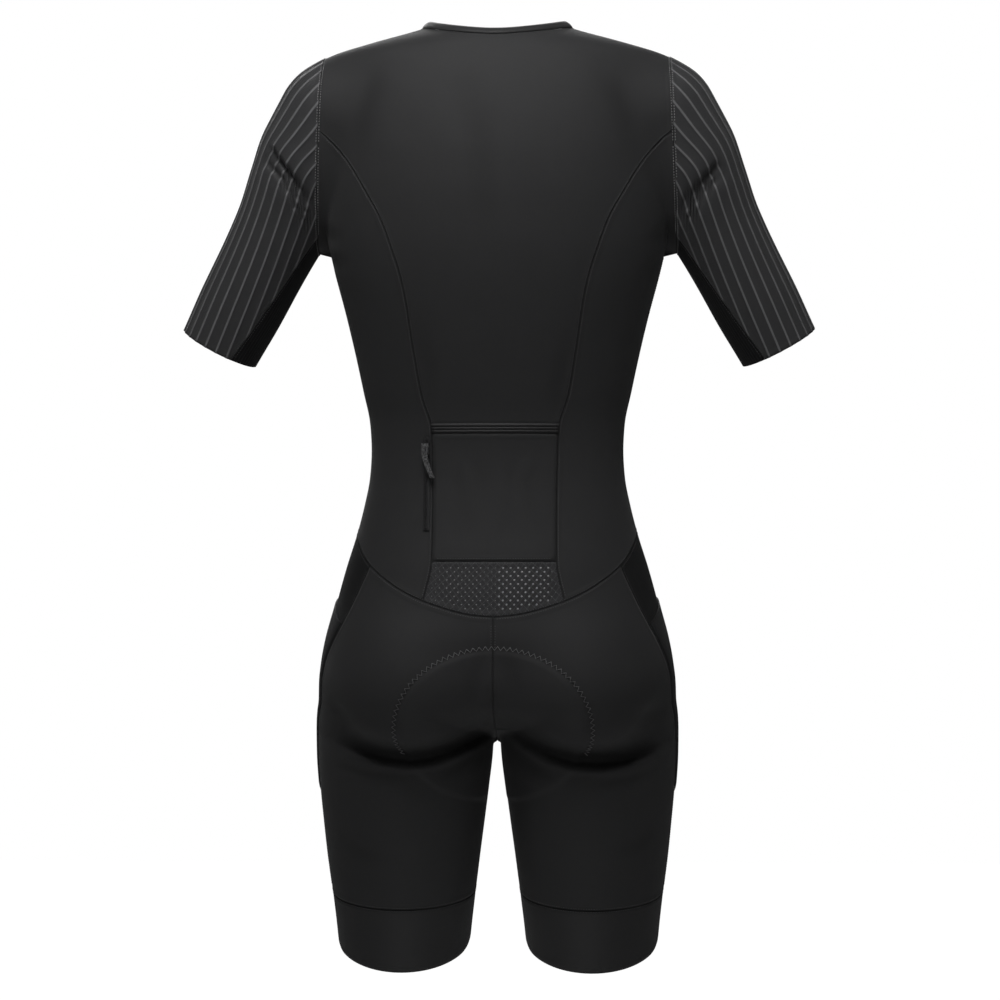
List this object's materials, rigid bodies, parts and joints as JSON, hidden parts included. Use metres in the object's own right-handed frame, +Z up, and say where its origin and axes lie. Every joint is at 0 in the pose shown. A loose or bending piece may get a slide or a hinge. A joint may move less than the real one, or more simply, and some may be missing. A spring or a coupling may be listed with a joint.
{
  "type": "short-sleeved cycling skinsuit",
  "caption": "One-piece close-fitting cycling suit with short ribbed sleeves, thigh-length legs with gripper bands, a bound back pocket and side pockets, filled out with no wearer",
  "frame": {"origin": "mount worn_on_shoulders: on the suit's middle plane, level with the top of the shoulders, 30 mm under the top of the collar band", "axes": "+Z up, -Y the front of the suit, +X the wearer's left; metres"},
  "size_m": [0.6052, 0.242, 0.8966],
  "materials": {
    "main": "matt stretch knit with a soft sheen",
    "ribbed": "raised-rib stretch knit",
    "mesh": "fine dark stretch mesh",
    "band": "smooth elastic band",
    "dotted": "stretch knit with a fine lattice and small light dots",
    "zip": "woven zip tape with a closed coil",
    "metal": "dark coated"
  },
  "bodies": {
    "suit": {"back_centre": "main", "back_side_left": "main", "back_side_right": "main", "front_left": "main", "front_right": "main", "collar_band": "band", "front_zip": "zip", "front_zip_slider": "metal", "back_pocket": "main", "pocket_binding": "band", "pocket_zip": "zip", "pocket_zip_slider": "metal", "lumbar_insert": "dotted", "short_back_left": "main", "short_back_right": "main", "short_front_left": "main", "short_front_right": "main", "short_side_left": "mesh", "short_side_right": "mesh", "side_pocket_left": "main", "side_pocket_right": "main", "leg_band_left": "band", "leg_band_right": "band", "sleeve_left": "ribbed", "sleeve_right": "ribbed", "undersleeve_left": "mesh", "undersleeve_right": "mesh"},
    "front_pull": {"front_zip_pull": "metal"},
    "pocket_pull": {"pocket_zip_pull": "metal"}
  },
  "joints": [
    {"name": "front_pull_hinge", "type": "hinge", "parent": "suit", "child": "front_pull", "pos_m": [0, -0.0847, -0.04031], "axis": [-1, 0, 0], "range_deg": [0, 110]},
    {"name": "pocket_pull_hinge", "type": "hinge", "parent": "suit", "child": "pocket_pull", "pos_m": [0.06541, 0.07012, -0.37404], "axis": [0.9503, -0.311, -0.0152], "range_deg": [0, 110]}
  ]
}
